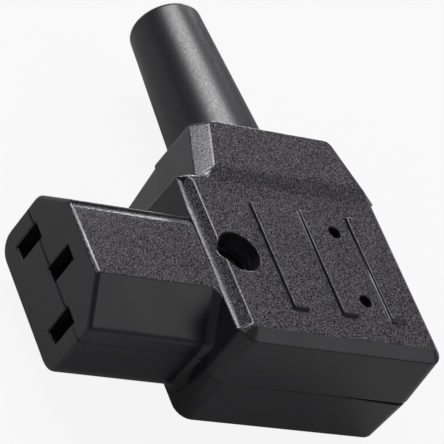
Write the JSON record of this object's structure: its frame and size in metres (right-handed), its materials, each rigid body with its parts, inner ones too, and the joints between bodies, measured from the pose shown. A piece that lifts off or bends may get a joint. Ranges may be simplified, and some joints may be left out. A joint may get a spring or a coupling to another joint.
{
  "type": "power connector",
  "caption": "Right-angle rewirable female power connector: screwed plastic shells around sprung brass contacts, a cord grip and a flexible bend-relief sleeve.",
  "frame": {"origin": "middle of the connector's bounding box, on the plane of the collar's back face that it rests on", "axes": "+Y along the cord's exit, -X out of the mating face, +Z out of the ribbed cover"},
  "size_m": [0.054, 0.067, 0.0204],
  "materials": {
    "housing_plastic": "spark-textured black moulding",
    "sleeve_pvc": "smooth soft black PVC",
    "grip_plastic": "smooth dark moulding",
    "contact_brass": "stamped and folded strip",
    "terminal_brass": "folded and tapped frame",
    "zinc_steel": "zinc plated"
  },
  "bodies": {
    "root": {"front_shell": "housing_plastic", "rear_shell": "housing_plastic", "bend_relief_sleeve": "sleeve_pvc", "cover_screw": "zinc_steel", "cover_nut": "zinc_steel", "line_contact": "contact_brass", "neutral_contact": "contact_brass", "earth_contact": "contact_brass", "line_terminal_cage": "terminal_brass", "neutral_terminal_cage": "terminal_brass", "earth_terminal_cage": "terminal_brass", "line_terminal_screw": "zinc_steel", "neutral_terminal_screw": "zinc_steel", "earth_terminal_screw": "zinc_steel", "line_clamp_plate": "terminal_brass", "neutral_clamp_plate": "terminal_brass", "earth_clamp_plate": "terminal_brass", "cord_grip_bar": "grip_plastic", "cord_grip_screw_near": "zinc_steel", "cord_grip_screw_far": "zinc_steel"}
  },
  "joints": []
}
